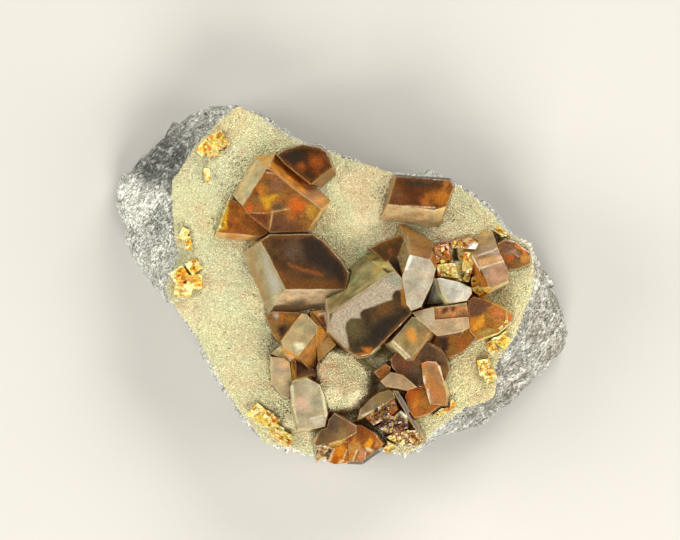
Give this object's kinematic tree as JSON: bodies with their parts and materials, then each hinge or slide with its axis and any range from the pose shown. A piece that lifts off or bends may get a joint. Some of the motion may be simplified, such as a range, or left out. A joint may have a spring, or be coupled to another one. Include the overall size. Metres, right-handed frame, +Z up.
{
  "type": "barite on matrix",
  "caption": "Mineral specimen: honey-brown bladed barite crystals on a slab of grey rock coated with a cream druse, lying on its flat back.",
  "frame": {"origin": "centre of the bounding box's bottom face, on the surface that the slab's flat back rests on", "axes": "+Z up, the way the crystals point; +X along the slab's length, with the crystal group's square end at +X; +Y across it, towards the edge behind the largest dark crystal"},
  "size_m": [0.0918, 0.0718, 0.0339],
  "materials": {
    "grey_rock": "matte",
    "cream_druse": "matte",
    "honey_barite": "gloss",
    "yellow_barite": "satin"
  },
  "bodies": {
    "root": {"host_rock": "grey_rock", "drusy_crust": "cream_druse", "upper_left_cluster": "honey_barite", "large_dark_crystal": "honey_barite", "upper_right_crystal": "honey_barite", "central_cluster": "honey_barite", "left_cluster": "honey_barite", "bottom_cluster": "honey_barite", "stub_top_left": "yellow_barite", "stub_small": "yellow_barite", "stub_left_edge": "yellow_barite", "stub_left": "yellow_barite", "stub_lower_left": "yellow_barite", "stub_right": "yellow_barite", "stub_right_low": "yellow_barite", "stub_bottom": "yellow_barite", "stub_bottom_rim": "yellow_barite", "stub_upper_right": "yellow_barite"}
  },
  "joints": []
}
